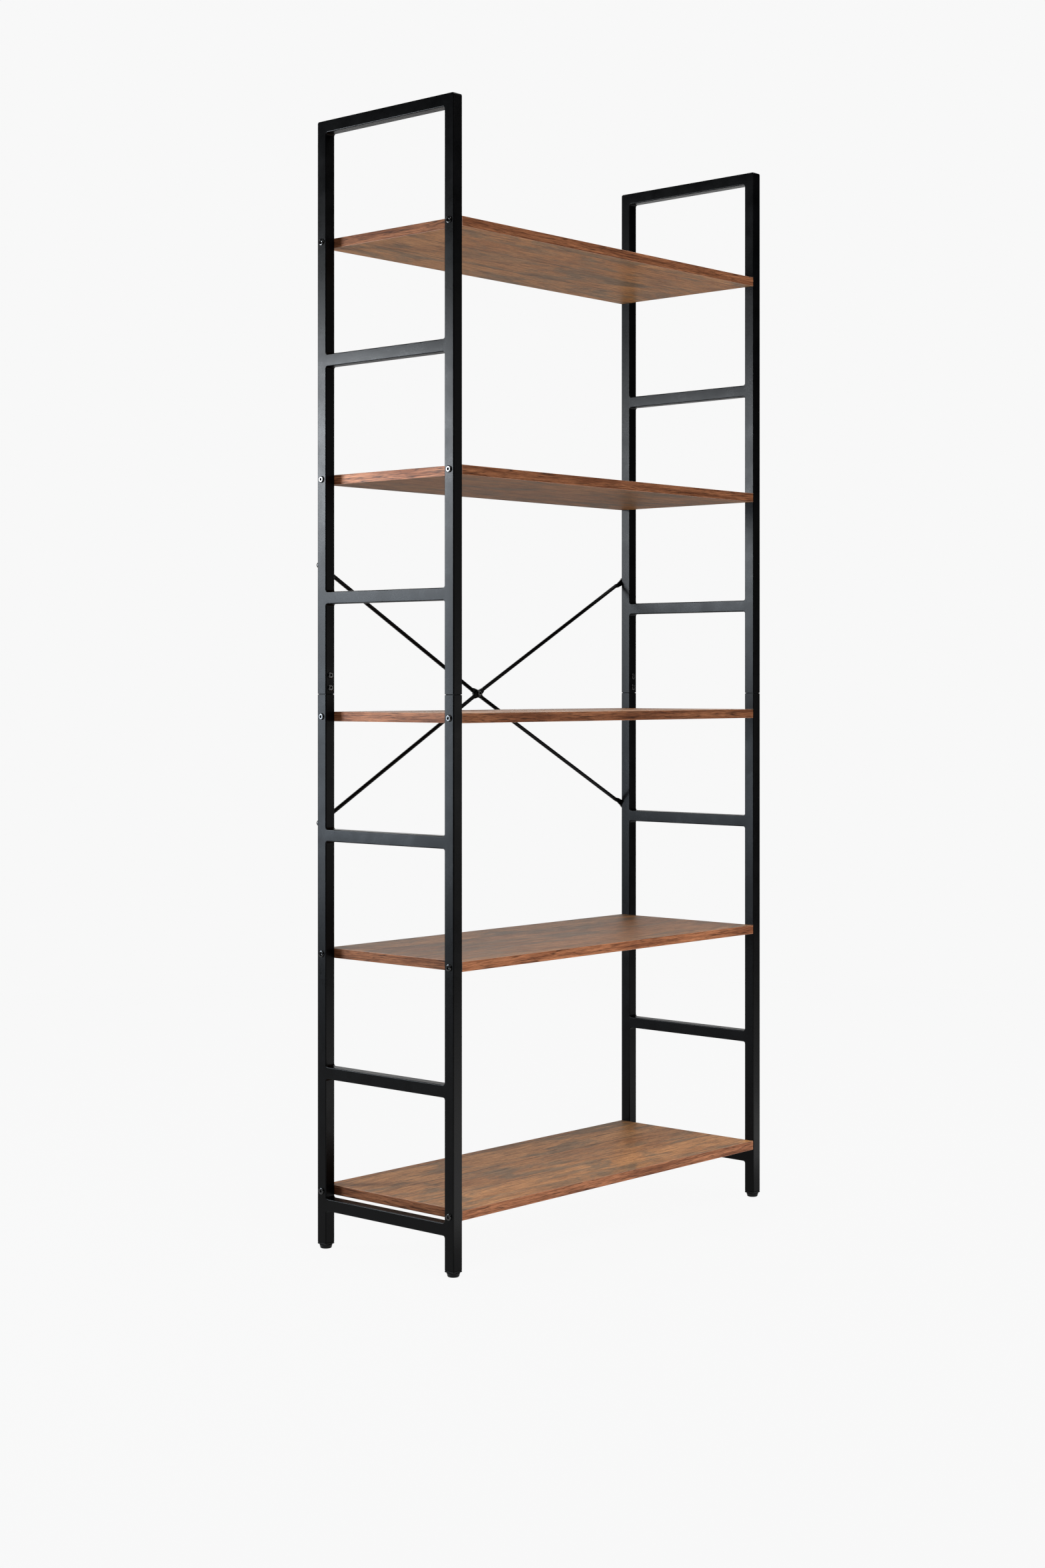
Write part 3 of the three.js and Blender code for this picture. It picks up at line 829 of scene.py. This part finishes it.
def levelling_foot(corner):
    """A round glide with a rounded base, turned in one piece with the stud that screws into the insert."""
    node = f"levelling_foot_{corner}"
    low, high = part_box(node)
    centre = (low + high) / 2
    pad_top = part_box(f"foot_insert_{corner}")[0].z - CLEARANCE
    top = (high.x - low.x) / 2
    base = FOOT_BASE / 2
    side = FOOT_SIDE / 2
    steps = 6
    hollow = 0.3 * MM  # depth of the shallow hollow under the base
    profile = [(0.2 * MM, hollow), (base * 0.55, hollow), (base * 0.62, 0)]
    for step in range(steps + 1):
        angle = step / steps * math.pi / 2
        profile.append((base + (side - base) * math.sin(angle), FOOT_ROUNDING * (1 - math.cos(angle))))
    rim = 0.35 * MM  # chamfer round the top of the pad
    profile += [(top - 0.1 * MM, pad_top - 2 * rim), (top, pad_top - rim), (top - rim, pad_top)]
    thread_low = pad_top + 1.5 * MM
    thread_high = high.z - MM
    profile += [(STUD / 2, pad_top), (STUD / 2, thread_low)]
    turns_of_thread = int((thread_high - thread_low) / THREAD_PITCH)
    for turn in range(turns_of_thread):
        profile.append((STUD / 2 - 0.5 * MM, thread_low + (turn + 0.5) * THREAD_PITCH))
        profile.append((STUD / 2, thread_low + (turn + 1) * THREAD_PITCH))
    profile += [(STUD / 2 - MM, high.z)]
    made = loft([circle(radius, height, 48) for radius, height in profile])
    made.transform(Matrix.Translation((centre.x, centre.y, 0)))
    piece = as_object(f"{node}_body", made)
    finish_piece(piece, node, [PLASTIC], body=f"foot_{corner}", sharp=35)


# ---- The whole case ----

for side_name, _ in SIDES:
    side_frame(side_name, "upper")
    side_frame(side_name, "lower")

for shelf_name in SHELVES:
    shelf(shelf_name)

for side_name, side in SIDES:
    for end_name, end in ENDS:
        corner = f"{side_name}_{end_name}"
        for shelf_name in SHELVES:
            bolt(f"shelf_bolt_{shelf_name}_{corner}", (side, 0, 0), HEAD_HEIGHT)
        for number in (1, 2):
            bolt(f"sleeve_screw_{corner}_{number}", (0, -end, 0), HEAD_HEIGHT)
        foot_insert(corner)
        levelling_foot(corner)
        sleeve = frame["nodes"][f"post_sleeve_{corner}"]
        sleeve.data.materials.clear()
        sleeve.data.materials.append(STEEL)
    for height_name in ("lower", "upper"):
        bolt(f"brace_bolt_{side_name}_{height_name}", (0, 1, 0), BRACE_HEAD_HEIGHT)

brace_rod("front", 1)
brace_rod("rear", -1)
bolt("brace_hub_bolt", (0, -1, 0), HEAD_HEIGHT)
hub_nut()

# ---- Camera ----

CAMERA_PLACE = (-2.9562, -2.5924, 0.8826)
CAMERA_TURN = 48.23  # degrees to the right of straight at the front
CAMERA_LENS = 54.89
CAMERA_SHIFT = -0.0645

camera = bpy.data.objects.new("camera", bpy.data.cameras.new("camera"))
bpy.context.scene.collection.objects.link(camera)
bpy.context.scene.camera = camera
camera.location = CAMERA_PLACE
camera.rotation_euler = (math.pi / 2, 0, -math.radians(CAMERA_TURN))
camera.data.sensor_width = 36
camera.data.lens = CAMERA_LENS
camera.data.shift_y = CAMERA_SHIFT

# ---- Studio ----

BACKGROUND = 0.939
FLOOR_GLOW = 0.932
DIM = 0.02  # what the object sees of the room where there is no light


def floor():
    """A round pale floor that glows as bright as the backdrop, with only a breath of shadow."""
    made = bmesh.new()
    bmesh.ops.create_circle(made, cap_ends=True, segments=96, radius=3.2)
    disc = as_object("floor", made)
    material = bpy.data.materials.new("floor")
    material.use_nodes = True
    tree = material.node_tree
    tree.nodes.clear()
    glow = add_node(tree, "Emission", {"Color": (1, 1, 1, 1), "Strength": FLOOR_GLOW})
    matt = add_node(tree, "BsdfDiffuse", {"Color": (0.008, 0.008, 0.008, 1)})
    both = add_node(tree, "AddShader", {0: glow.outputs[0], 1: matt.outputs[0]})
    add_node(tree, "OutputMaterial", {"Surface": both.outputs[0]})
    disc.data.materials.append(material)


def world():
    """A pale backdrop to the camera, and a dark room to everything else."""
    made = bpy.data.worlds.new("studio")
    bpy.context.scene.world = made
    made.use_nodes = True
    tree = made.node_tree
    tree.nodes.clear()
    seen = add_node(tree, "LightPath").outputs["Is Camera Ray"]
    colour = mix(tree, seen, (DIM, DIM, DIM, 1), (BACKGROUND, BACKGROUND, BACKGROUND, 1))
    back = add_node(tree, "Background", {"Color": colour})
    add_node(tree, "OutputWorld", {"Surface": back.outputs[0]})


def softbox(name, place_at, facing, width, height, radiance, tint=(1, 1, 1)):
    """A rectangular light that the camera doesn't see, with a given radiance."""
    data = bpy.data.lights.new(name, "AREA")
    data.shape = "RECTANGLE"
    data.size = width
    data.size_y = height
    data.energy = radiance * math.pi * width * height
    data.color = tint
    light = bpy.data.objects.new(name, data)
    bpy.context.scene.collection.objects.link(light)
    light.location = place_at
    light.rotation_euler = Vector(facing).to_track_quat("-Z", "Y").to_euler()
    light.visible_camera = False


REAR_LEFT = (1, -1, 0)  # the way the panels behind the left side face

floor()
world()
softbox("rear_left_high", (-1.75, 1.45, 1.45), REAR_LEFT, 0.55, 0.36, 64, (0.94, 1, 1.06))
softbox("rear_left_middle", (-1.77, 1.43, 0.83), REAR_LEFT, 0.55, 0.86, 18, (0.88, 1, 1.13))
softbox("rear_left_inner", (-1.4, 1.8, 1.3), REAR_LEFT, 0.55, 0.6, 8)
softbox("rear_right", (2.5, 2.2, 1.5), (-1, -1, 0), 3.0, 0.6, 1.8)
softbox("rear_right_low", (2.5, 2.2, 0.75), (-1, -1, 0), 3.0, 0.7, 0.5)
softbox("rear_high", (1.5, 2.5, 3.0), (-1.5, -2.5, -2.1), 3.0, 1.5, 4.0)
softbox("top", (0, -1.5, 3.4), (0, 1.5, -2.5), 3.0, 2.0, 6.5)
softbox("front_right_low", (2.22, -2.58, 0.7), (-1, 1, 0), 1.0, 0.6, 2.7)
softbox("front_right_high", (2.22, -2.58, 1.65), (-1, 1, 0), 1.0, 0.8, 0.8)
softbox("front_floor", (0.05, -1.25, 0.01), (0, 0, 1), 1.9, 1.9, 1.8)

bpy.context.scene.view_settings.view_transform = "Standard"
